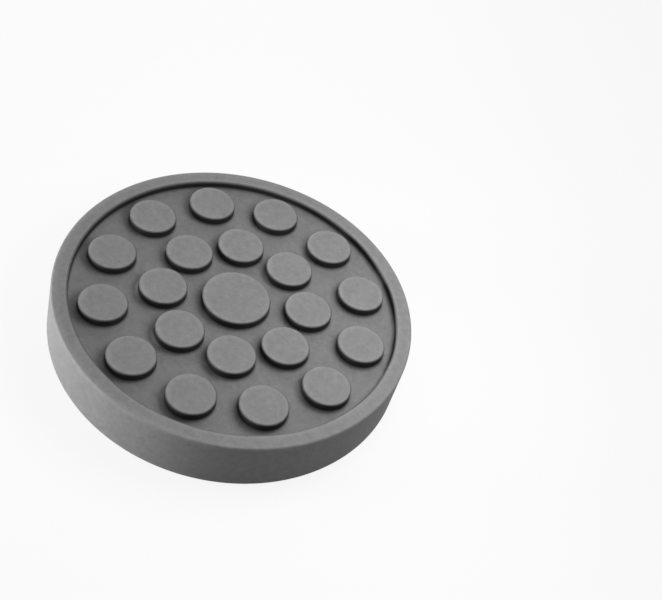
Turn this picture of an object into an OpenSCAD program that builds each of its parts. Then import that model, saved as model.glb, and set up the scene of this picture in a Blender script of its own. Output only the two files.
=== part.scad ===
// Lift arm rubber pad: a round slip-on pad for the round steel plate at the end of a vehicle
// lift's arm. It is moulded in one piece from solid rubber. The upper side carries two rings
// of round grip studs about a larger centre stud, inside a raised rim. The under side is a
// shallow cup with a lip at its mouth that snaps round the edge of the steel plate.
//
// The pad stands on its lower face at z = 0, its axis on Z and its studs up. One stud of each
// ring lies on +X. Each solid is turned from a half section drawn with radius on x and
// height on y.

/* [Body] */

// Outside diameter of the pad (mm)
body_d = 150; // [146:1:170]

// Height from the lower face to the top of the rim (mm)
body_h = 24; // [22:0.5:32]

// Radius of the rounded outer edges (mm)
edge_r = 0.8; // [0.5:0.1:2]

/* [Rim and recess] */

// Width of the raised rim (mm)
rim_w = 6.75; // [5:0.25:8]

// Depth of the recess inside the rim (mm)
recess_depth = 4; // [2.5:0.25:5.5]

// Radius of the rim's rounded inner edge (mm)
rim_edge_r = 1; // [0.4:0.1:1.4]

// Fillet between the recess floor and the rim (mm)
recess_fillet_r = 0.8; // [0.4:0.1:1]

/* [Studs] */

// Diameter of the studs in both rings (mm)
stud_d = 20; // [15:0.5:21]

// How far the studs stand above the rim (mm)
stud_rise = 0.5; // [0:0.1:1.5]

// Radius of the rounded edge round the top of each stud (mm)
stud_edge_r = 0.7; // [0.3:0.1:1.2]

// Studs in the outer ring
outer_count = 12; // [8:1:14]

// Gap between the rim and the outer ring's studs (mm)
outer_gap = 3.5; // [2:0.25:5]

// Studs in the inner ring
inner_count = 8; // [5:1:8]

// Distance between the two rings, from centre line to centre line (mm)
ring_spacing = 24.4; // [22.5:0.1:26]

// Diameter of the centre stud (mm)
centre_d = 28.6; // [20:0.1:30]

/* [Cup] */

// Depth of the cup from the lower face (mm)
cup_depth = 12.5; // [8:0.5:13]

// Thickness of the cup's wall beside the groove for the plate (mm)
cup_wall = 4; // [3:0.25:5]

// How far the lip reaches inwards from the cup's wall (mm)
lip_reach = 3.75; // [1.5:0.25:5]

// Thickness of the lip (mm)
lip_h = 3; // [2:0.25:4]

// Radius of the lip's rounded edges (mm)
lip_edge_r = 0.6; // [0.2:0.1:0.9]

// Fillet between the cup's floor and its wall (mm)
cup_fillet_r = 1.5; // [0.4:0.1:2]

/* [Screw relief] */

// Diameter of the relief in the middle of the cup's floor (mm)
relief_d = 14.5; // [10:0.5:24]

// Depth of the relief into the cup's floor (mm)
relief_depth = 3; // [1:0.25:3.5]

/* [Finish] */

// Colour of the rubber
rubber_colour = "DimGray"; // [DimGray, Gray, SlateGray, Black]

/* [Hidden] */

// Sides of the turned body, of each stud and of a full circle of a small edge round
body_sides = 72;
stud_sides = 24;
round_sides = 16;

// Overrun of a cut past the surface that it opens through
overrun = 1;

// How deep a stud is rooted in the web below the recess floor
stud_root = 1;

body_r = body_d / 2;
recess_r = body_r - rim_w;
recess_floor_z = body_h - recess_depth;

stud_top_z = body_h + stud_rise;
outer_ring_r = recess_r - outer_gap - stud_d / 2;
inner_ring_r = outer_ring_r - ring_spacing;

groove_r = body_r - cup_wall;
mouth_r = groove_r - lip_reach;
relief_r = relief_d / 2;

// The sliver between a corner at [x, y] and the arc that rounds it. It is cut from a convex
// corner, or kept back from a cut to leave a fillet. What the arc rounds lies up and to the
// right of the corner at no turn, and turns anticlockwise with it.
module corner_round(x, y, r, turn) {
    translate([x, y])
        rotate(turn)
            difference() {
                translate([-overrun, -overrun])
                    square(r + overrun);
                translate([r, r])
                    circle(r, $fn = round_sides);
            }
}

// Half section of the plain disc with its outer edges rounded
module disc_section() {
    difference() {
        square([body_r, body_h]);
        corner_round(body_r, 0, edge_r, 90);
        corner_round(body_r, body_h, edge_r, 180);
    }
}

// Half section of the recess inside the rim, with a fillet kept at its floor
module recess_section() {
    difference() {
        translate([-overrun, recess_floor_z])
            square([recess_r + overrun, recess_depth + overrun]);
        corner_round(recess_r, recess_floor_z, recess_fillet_r, 90);
    }
}

// Half section of the groove that holds the plate, with a fillet kept at the cup's floor
module groove_section() {
    difference() {
        translate([-overrun, lip_h])
            square([groove_r + overrun, cup_depth - lip_h]);
        corner_round(groove_r, cup_depth, cup_fillet_r, 180);
    }
}

// Half section of the mouth inside the lip
module mouth_section() {
    translate([-overrun, -overrun])
        square([mouth_r + overrun, lip_h + 2 * overrun]);
}

// Half section of the relief for the head of the plate's screw
module relief_section() {
    translate([-overrun, cup_depth - overrun])
        square([relief_r + overrun, relief_depth + overrun]);
}

module body_section() {
    difference() {
        disc_section();
        recess_section();
        corner_round(recess_r, body_h, rim_edge_r, 270);
        mouth_section();
        groove_section();
        corner_round(mouth_r, 0, lip_edge_r, 0);
        corner_round(mouth_r, lip_h, lip_edge_r, 270);
        relief_section();
    }
}

module body() {
    rotate_extrude($fn = body_sides)
        body_section();
}

// A stud with a rounded top edge, rooted in the web below the recess floor
module stud(d) {
    root_z = recess_floor_z - stud_root;
    translate([0, 0, root_z])
        rotate_extrude($fn = stud_sides)
            difference() {
                square([d / 2, stud_top_z - root_z]);
                corner_round(d / 2, stud_top_z - root_z, stud_edge_r, 180);
            }
}

// A ring of studs, the first of them on +X
module stud_ring(count, ring_r) {
    for (i = [0 : count - 1])
        rotate([0, 0, i * 360 / count])
            translate([ring_r, 0, 0])
                stud(stud_d);
}

module rubber_pad() {
    color(rubber_colour)
        union() {
            body();
            stud(centre_d);
            stud_ring(inner_count, inner_ring_r);
            stud_ring(outer_count, outer_ring_r);
        }
}

rubber_pad();
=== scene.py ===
"""Looks for the lift arm rubber pad: one rubber moulding, standing studs up on a pale floor."""

import math

import bmesh
import bpy
import numpy as np
from mathutils import Matrix, Vector


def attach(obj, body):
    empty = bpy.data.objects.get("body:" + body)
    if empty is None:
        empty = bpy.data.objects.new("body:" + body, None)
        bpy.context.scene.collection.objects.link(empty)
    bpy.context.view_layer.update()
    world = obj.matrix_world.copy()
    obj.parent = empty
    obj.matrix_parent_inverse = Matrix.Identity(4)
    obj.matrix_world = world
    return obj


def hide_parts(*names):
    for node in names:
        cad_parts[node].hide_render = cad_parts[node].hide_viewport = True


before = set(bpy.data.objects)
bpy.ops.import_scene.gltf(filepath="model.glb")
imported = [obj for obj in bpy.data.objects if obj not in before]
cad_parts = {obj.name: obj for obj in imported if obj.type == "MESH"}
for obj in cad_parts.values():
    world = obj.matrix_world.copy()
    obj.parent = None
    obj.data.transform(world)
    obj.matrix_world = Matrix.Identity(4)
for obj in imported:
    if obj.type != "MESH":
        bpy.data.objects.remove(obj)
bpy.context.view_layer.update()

# The rubber pad. The real pad is one piece of mid grey solid rubber, pressed in a hot mould that
# gives it its rim, its grip studs and its lipped cup in one go. Every edge carries the mould's
# small radius, the faces are matt and faintly clouded, and the studs blend into the recess floor.

MM = 0.001

BODY_R = 75 * MM
BODY_H = 24 * MM
OUTER_EDGE = 0.8 * MM
RECESS_R = 68.25 * MM
RECESS_Z = 20 * MM
RIM_EDGE = 1.0 * MM
RECESS_FILLET = 1.5 * MM

LIP_R = 67.25 * MM
LIP_H = 3 * MM
LIP_EDGE = 0.6 * MM
GROOVE_R = 71 * MM
CUP_Z = 12.5 * MM
CUP_FILLET = 1.5 * MM
RELIEF_R = 7.25 * MM
RELIEF_Z = 15.5 * MM
RELIEF_EDGE = 0.3 * MM

STUD_TOP = 24.5 * MM
STUD_EDGE = 0.7 * MM
STUD_FOOT = 1.5 * MM

# The centre stud and the two rings: radius of a stud, how many, radius of the circle they are on
STUD_RINGS = [
    (14.3 * MM, 1, 0),
    (10 * MM, 8, 30.35 * MM),
    (10 * MM, 12, 54.75 * MM),
]

# How finely the body and a stud are turned, and how finely a straight stretch and a round are cut
BODY_SIDES = 360
STUD_SIDES = 72
STEP = 2.5 * MM
ROUND_STEPS = 6
FOOT_STEPS = 8
LIP_STEPS = 4
RELIEF_STEPS = 3


def arc(centre, radius, start, end, steps=ROUND_STEPS):
    """Points c + r (cos a, sin a), with the angle a going evenly from start to end in degrees."""
    a = np.radians(np.linspace(start, end, steps + 1))
    return np.stack([centre[0] + radius * np.cos(a), centre[1] + radius * np.sin(a)], axis=1)


def run(start, end):
    """Points evenly spaced on a straight line, at most one step apart, without its two ends."""
    start, end = np.array(start), np.array(end)
    count = max(int(np.ceil(np.linalg.norm(end - start) / STEP)), 1)
    return start + (end - start) * (np.arange(1, count) / count)[:, None]


def section(*pieces):
    """Joins arcs and points into one outline, filling each straight stretch between them."""
    out = [np.atleast_2d(pieces[0])]
    for piece in pieces[1:]:
        piece = np.atleast_2d(piece)
        out += [run(out[-1][-1], piece[0]), piece]
    return np.concatenate([p for p in out if len(p)])


def turned(outline, sides, first_pole, last_pole):
    """Turns an outline of (radius, height, marks) about Z: (r cos u, r sin u, h) on an even grid
    of u, with the marks carried round. An end that is a pole lies on the axis as one point."""
    u = np.linspace(0, 2 * np.pi, sides, endpoint=False)
    rows = np.repeat(outline[first_pole:len(outline) - last_pole], sides, axis=0)
    turn = np.tile(u, len(rows) // sides)
    points = np.column_stack([rows[:, 0] * np.cos(turn), rows[:, 0] * np.sin(turn), rows[:, 1:]])
    i = np.arange(len(rows) // sides - 1)[:, None] * sides
    j = np.arange(sides)[None]
    k = (j + 1) % sides
    quads = np.stack([i + j, i + k, i + sides + k, i + sides + j], 2).reshape(-1, 4)
    fans = []
    if first_pole:
        points = np.concatenate([points, [[0, 0, *outline[0, 1:]]]])
        pole = np.full(sides, len(points) - 1)
        fans.append(np.stack([pole, k[0], j[0]], 1))
    if last_pole:
        points = np.concatenate([points, [[0, 0, *outline[-1, 1:]]]])
        pole = np.full(sides, len(points) - 1)
        last = len(rows) - sides
        fans.append(np.stack([last + j[0], last + k[0], pole], 1))
    return points, quads, np.concatenate(fans)


# The marks that each point carries. The second carries painted shade on the upright sides in
# the recess; over the round at its top it is the share of the way down, raised to this power.
MARKS = ("to_corner", "painted_shade")
PAINTED_SHADE_FADE = 0.35


def marked(outline, corners, shade_fade_top, shade_fade_foot, top_z):
    """Adds two marks to each point. The first is its way along the outline to the nearest worn
    corner, where the pale edge is partly a painted highlight. The second is painted shade: 1 on an
    upright side in the recess, falling to 0 over its two rounds."""
    way = np.concatenate([[0], np.cumsum(np.linalg.norm(np.diff(outline, axis=0), axis=1))])
    spots = [way[np.argmin(np.linalg.norm(outline - corner, axis=1))] for corner in corners]
    to_corner = np.abs(way[:, None] - spots).min(axis=1)
    r, h = outline.T
    inside = (h >= RECESS_Z) & (r <= RECESS_R + RIM_EDGE)
    painted_shade = np.clip((top_z - h) / shade_fade_top, 0, 1) ** PAINTED_SHADE_FADE
    painted_shade *= np.clip((h - RECESS_Z) / shade_fade_foot, 0, 1)
    return np.column_stack([outline, to_corner, painted_shade * inside])


def body_outline():
    """From the axis out over the cup's floor, round the lip, up the wall, over the rim and down
    to the edge of the recess floor."""
    outline = section(
        (0, RELIEF_Z),
        arc((RELIEF_R - RELIEF_EDGE, RELIEF_Z - RELIEF_EDGE), RELIEF_EDGE, 90, 0, RELIEF_STEPS),
        arc((RELIEF_R + RELIEF_EDGE, CUP_Z + RELIEF_EDGE), RELIEF_EDGE, 180, 270, RELIEF_STEPS),
        arc((GROOVE_R - CUP_FILLET, CUP_Z - CUP_FILLET), CUP_FILLET, 90, 0),
        (GROOVE_R, LIP_H),
        arc((LIP_R + LIP_EDGE, LIP_H - LIP_EDGE), LIP_EDGE, 90, 180, LIP_STEPS),
        arc((LIP_R + LIP_EDGE, LIP_EDGE), LIP_EDGE, 180, 270, LIP_STEPS),
        arc((BODY_R - OUTER_EDGE, OUTER_EDGE), OUTER_EDGE, 270, 360),
        arc((BODY_R - OUTER_EDGE, BODY_H - OUTER_EDGE), OUTER_EDGE, 0, 90),
        arc((RECESS_R + RIM_EDGE, BODY_H - RIM_EDGE), RIM_EDGE, 90, 180),
        arc((RECESS_R - RECESS_FILLET, RECESS_Z + RECESS_FILLET), RECESS_FILLET, 0, -90),
    )
    # The corners that are worn paler, where the pale edge is partly a painted highlight
    worn_and_highlight = [(BODY_R, 0), (BODY_R, BODY_H), (RECESS_R, BODY_H), (LIP_R, 0), (LIP_R, LIP_H)]
    return marked(outline, worn_and_highlight, RIM_EDGE, RECESS_FILLET, BODY_H)


def stud_outline(radius):
    """A foot that flares into the floor, a straight side, a rounded edge and a flat top."""
    outline = section(
        arc((radius + STUD_FOOT, RECESS_Z + STUD_FOOT), STUD_FOOT, 270, 180, FOOT_STEPS),
        arc((radius - STUD_EDGE, STUD_TOP - STUD_EDGE), STUD_EDGE, 0, 90),
        (0, STUD_TOP),
    )
    return marked(outline, [(radius, STUD_TOP)], STUD_EDGE, STUD_FOOT, STUD_TOP)


def moulding():
    """Body and studs as one closed skin. Stud i of a ring of n stands at the angle 2 pi i / n.
    The flat floor between the open edges is filled last."""
    parts = [(turned(body_outline(), BODY_SIDES, True, False), (0, 0))]
    for stud_r, count, ring_r in STUD_RINGS:
        stud = turned(stud_outline(stud_r), STUD_SIDES, False, True)
        for a in 2 * np.pi * np.arange(count) / count:
            parts.append((stud, (ring_r * np.cos(a), ring_r * np.sin(a))))
    points, faces, start = [], [], 0
    for (vertices, quads, fans), (x, y) in parts:
        points.append(vertices + [x, y, 0, 0, 0])
        faces += (quads + start).tolist() + (fans + start).tolist()
        start += len(vertices)
    mesh = bpy.data.meshes.new("rubber_pad_skin")
    points = np.concatenate(points)
    mesh.from_pydata(points[:, :3], [], faces)
    for name, values in zip(MARKS, points[:, 3:].T):
        mesh.attributes.new(name, "FLOAT", "POINT").data.foreach_set("value", values)
    work = bmesh.new()
    work.from_mesh(mesh)
    rims = [edge for edge in work.edges if edge.is_boundary]
    filled = bmesh.ops.triangle_fill(work, edges=rims, use_beauty=True, normal=(0, 0, 1))
    work.normal_update()
    for face in filled["geom"]:
        if isinstance(face, bmesh.types.BMFace) and face.normal.z < 0:
            face.normal_flip()
    work.to_mesh(mesh)
    work.free()
    mesh.shade_smooth()
    return mesh


class Wire:
    """A shader socket that can be added, subtracted and multiplied, at one Math node a sign."""

    def __init__(self, tree, socket):
        self.tree, self.socket = tree, socket

    def node(self, kind, settings, sockets, out=0):
        """Adds a node: its settings first, then a value or a link for each socket."""
        made = self.tree.nodes.new(kind)
        for name, value in settings.items():
            setattr(made, name, value)
        for name, value in sockets.items():
            if isinstance(value, Wire):
                self.tree.links.new(value.socket, made.inputs[name])
            else:
                made.inputs[name].default_value = value
        return Wire(self.tree, made.outputs[out])

    def maths(self, operation, first, second):
        """Adds the Math node of one sign, between two wires or a wire and a number."""
        return self.node("ShaderNodeMath", {"operation": operation}, {0: first, 1: second})

    def __add__(self, other):
        return self.maths("ADD", self, other)

    __radd__ = __add__

    def __mul__(self, other):
        return self.maths("MULTIPLY", self, other)

    __rmul__ = __mul__

    def __sub__(self, other):
        return self.maths("SUBTRACT", self, other)

    def __rsub__(self, other):
        return self.maths("SUBTRACT", other, self)


def fresh_material(name):
    """A new node material, with its tree emptied down to the output node."""
    material = bpy.data.materials.new(name)
    material.use_nodes = True
    tree = material.node_tree
    tree.nodes.clear()
    output = tree.nodes.new("ShaderNodeOutputMaterial")
    return material, tree, output


# The colours of the rubber. Its clouds run from dark to pale. Its edges are worn paler, partly
# evenly and partly in specks, and this pale edge is partly a painted highlight. The upright sides
# in the recess are painted dark as painted shade.
RUBBER_DARK = (0.180, 0.180, 0.182, 1)
RUBBER_PALE = (0.240, 0.240, 0.242, 1)
# Painted shade: the near-black colour laid on the upright sides in the recess
PAINTED_SHADE_DARK = (0.010, 0.010, 0.010, 1)
PAINTED_SHADE_SHARE = 0.94
PALE_WEAR_AND_HIGHLIGHT = (0.360, 0.360, 0.360, 1)
WEAR_AND_HIGHLIGHT_SHARE = 0.16
WEAR_AND_HIGHLIGHT_WIDTH = 3.0 * MM
EVEN_WEAR_AND_HIGHLIGHT, SPECKLED_WEAR_AND_HIGHLIGHT = 0.4, 1.2

# Each noise of the rubber: one over the size of its blotches in metres, its detail and its
# roughness. Below are its shares in the shade, in the roughness of the surface and in its height.
CLOUDS = (60, 3, 0.5)
MOTTLE = (380, 4, 0.75)
GRAIN = (2200, 3, 0.6)
CLOUDS_SHADE, MOTTLE_SHADE, GRAIN_SHADE = 0.6, 2.1, 0.7

ROUGH = 0.6
MOTTLE_ROUGH, GRAIN_ROUGH = 0.3, 0.2
SHINE = 0.05
MOTTLE_HEIGHT, GRAIN_HEIGHT = 0.6, 0.4
BUMP_STRENGTH = 0.5
BUMP_DEPTH = 0.2 * MM

rubber, tree, output = fresh_material("grey_rubber")
place = Wire(tree, None).node("ShaderNodeTexCoord", {}, {}, "Object")


def noise(scale, detail, roughness):
    """Even noise about 0.5, with its blotches 1 / scale metres across."""
    sockets = {"Vector": place, "Scale": scale, "Detail": detail, "Roughness": roughness}
    return place.node("ShaderNodeTexNoise", {}, sockets)


def mark(name):
    """One of the two marks that the mesh carries on its points."""
    return place.node("ShaderNodeAttribute", {"attribute_name": name}, {}, "Fac")


def blend(share, first, second):
    """Mixes two colours: the first at a share of 0, the second at 1."""
    sockets = {0: share, 6: first, 7: second}
    return place.node("ShaderNodeMix", {"data_type": "RGBA", "clamp_factor": True}, sockets, 2)


clouds, mottle, grain = noise(*CLOUDS), noise(*MOTTLE), noise(*GRAIN)
shade = 0.5 + (clouds - 0.5) * CLOUDS_SHADE
shade = shade + (mottle - 0.5) * MOTTLE_SHADE + (grain - 0.5) * GRAIN_SHADE
# Near the corners: edge wear, and partly a painted highlight along the rounded edges
worn_and_highlight = place.node(
    "ShaderNodeMapRange",
    {"interpolation_type": "SMOOTHSTEP"},
    {"Value": mark("to_corner"), "From Min": WEAR_AND_HIGHLIGHT_WIDTH, "From Max": 0.0},
)
colour = blend(shade, RUBBER_DARK, RUBBER_PALE)
# Edge wear and painted highlight: the corners are mixed towards a paler grey
colour = blend(worn_and_highlight * (EVEN_WEAR_AND_HIGHLIGHT + mottle * SPECKLED_WEAR_AND_HIGHLIGHT) * WEAR_AND_HIGHLIGHT_SHARE, colour, PALE_WEAR_AND_HIGHLIGHT)
# Painted shade: the upright sides in the recess are darkened towards near black
colour = blend(mark("painted_shade") * PAINTED_SHADE_SHARE, colour, PAINTED_SHADE_DARK)
height = mottle * MOTTLE_HEIGHT + grain * GRAIN_HEIGHT
bump = place.node(
    "ShaderNodeBump",
    {},
    {"Strength": BUMP_STRENGTH, "Distance": BUMP_DEPTH, "Height": height},
)
skin = place.node(
    "ShaderNodeBsdfPrincipled",
    {},
    {
        "Base Color": colour,
        "Roughness": ROUGH + (mottle - 0.5) * MOTTLE_ROUGH + (grain - 0.5) * GRAIN_ROUGH,
        "Normal": bump,
        "Specular IOR Level": SHINE,
    },
)
tree.links.new(skin.socket, output.inputs["Surface"])

pad = bpy.data.objects.new("rubber_pad_skin", moulding())
bpy.context.scene.collection.objects.link(pad)
pad.data.materials.append(rubber)
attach(pad, "root")
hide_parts("rubber_pad")

# The floor. A wide sheet of white board, which the camera sees as white with the pad's soft
# shadow on it, and which throws plain light up at the pad's wall. It lies a hair below the pad.

FLOOR_HALF = 3.0
FLOOR_GAP = 0.05 * MM
PURE_WHITE = (1, 1, 1, 1)

# What shows is matt board, which takes the shadow, with this share of pure white over it. What
# lights the pad from below is a duller board.
FLOOR_WHITE = (0.85, 0.85, 0.85, 1)
FLOOR_GLOW = 0.86
FLOOR_BOUNCE = (0.45, 0.45, 0.45, 1)


def direct_rays(tree):
    """1 on a ray that shows what it meets: the camera's own, or one off a gloss or through a
    clear piece. Three outputs of one node are added up, and a Mix Shader stops the sum at 1."""
    camera_ray = Wire(tree, None).node("ShaderNodeLightPath", {}, {}, "Is Camera Ray")
    outputs = camera_ray.socket.node.outputs
    glossy_ray = Wire(tree, outputs["Is Glossy Ray"])
    return camera_ray + glossy_ray + Wire(tree, outputs["Is Transmission Ray"])


board, tree, output = fresh_material("white_board")
direct = direct_rays(tree)
matt = direct.node("ShaderNodeBsdfDiffuse", {}, {"Color": FLOOR_WHITE})
dull = direct.node("ShaderNodeBsdfDiffuse", {}, {"Color": FLOOR_BOUNCE})
glow = direct.node("ShaderNodeEmission", {}, {"Color": PURE_WHITE, "Strength": 1.0})
shown = direct.node("ShaderNodeMixShader", {}, {0: FLOOR_GLOW, 1: matt, 2: glow})
floor_shader = direct.node("ShaderNodeMixShader", {}, {0: direct, 1: dull, 2: shown})
tree.links.new(floor_shader.socket, output.inputs["Surface"])

floor_mesh = bpy.data.meshes.new("floor")
corners = np.array([(-1, -1), (1, -1), (1, 1), (-1, 1)]) * FLOOR_HALF
floor_mesh.from_pydata([(x, y, 0) for x, y in corners], [], [(0, 1, 2, 3)])
floor = bpy.data.objects.new("floor", floor_mesh)
floor.location.z = -FLOOR_GAP
floor.data.materials.append(board)
bpy.context.scene.collection.objects.link(floor)

# The camera, where the photograph was taken from: a long lens above the pad and to one side,
# turned a little about its own axis.

CAMERA_AT = Vector((0.20935, -0.27176, 0.39730))
CAMERA_AIM = Vector((0.02284, 0.03360, 0.024))
CAMERA_ROLL = math.radians(19.39)
SENSOR_W = 36.0
LENS = 66.67
NEAREST = 10 * MM

camera_data = bpy.data.cameras.new("camera")
camera_data.sensor_width = SENSOR_W
camera_data.sensor_fit = "HORIZONTAL"
camera_data.lens = LENS
camera_data.clip_start = NEAREST
camera = bpy.data.objects.new("camera", camera_data)
look = (CAMERA_AIM - CAMERA_AT).to_track_quat("-Z", "Y").to_matrix().to_4x4()
camera.matrix_world = Matrix.Translation(CAMERA_AT) @ look @ Matrix.Rotation(CAMERA_ROLL, 4, "Z")
bpy.context.scene.collection.objects.link(camera)
bpy.context.scene.camera = camera

# The light: a near lamp over the pad's right side, a soft one behind it, a low one at the left and
# a weak even sky. The side towards the camera is left dark, as in the photograph.

# Each lamp's place and its two sides in metres, and its power in watts
LAMPS = [
    ("right_lamp", (0.069, 0.058, 0.168), (0.11, 0.11), 0.205),
    ("back_lamp", (-0.197, 0.235, 0.269), (0.30, 0.30), 0.347),
    ("left_lamp", (-0.844, -0.844, 0.137), (0.50, 0.20), 22.740),
]
PAD_MIDDLE = Vector((0, 0, 0.012))
SKY = 0.37

for name, at, size, power in LAMPS:
    lamp = bpy.data.lights.new(name, "AREA")
    lamp.shape = "RECTANGLE"
    lamp.size, lamp.size_y = size
    lamp.energy = power
    holder = bpy.data.objects.new(name, lamp)
    holder.visible_camera = False
    holder.location = at
    holder.rotation_euler = (PAD_MIDDLE - holder.location).to_track_quat("-Z", "Y").to_euler()
    bpy.context.scene.collection.objects.link(holder)

world = bpy.data.worlds.new("sky")
bpy.context.scene.world = world
world.use_nodes = True
tree = world.node_tree
tree.nodes.clear()
direct = direct_rays(tree)
sky = direct.node("ShaderNodeBackground", {}, {"Color": PURE_WHITE, "Strength": SKY})
white = direct.node("ShaderNodeBackground", {}, {"Color": PURE_WHITE, "Strength": 1.0})
both = direct.node("ShaderNodeMixShader", {}, {0: direct, 1: sky, 2: white})
output = tree.nodes.new("ShaderNodeOutputWorld")
tree.links.new(both.socket, output.inputs["Surface"])

bpy.context.scene.view_settings.view_transform = "Standard"
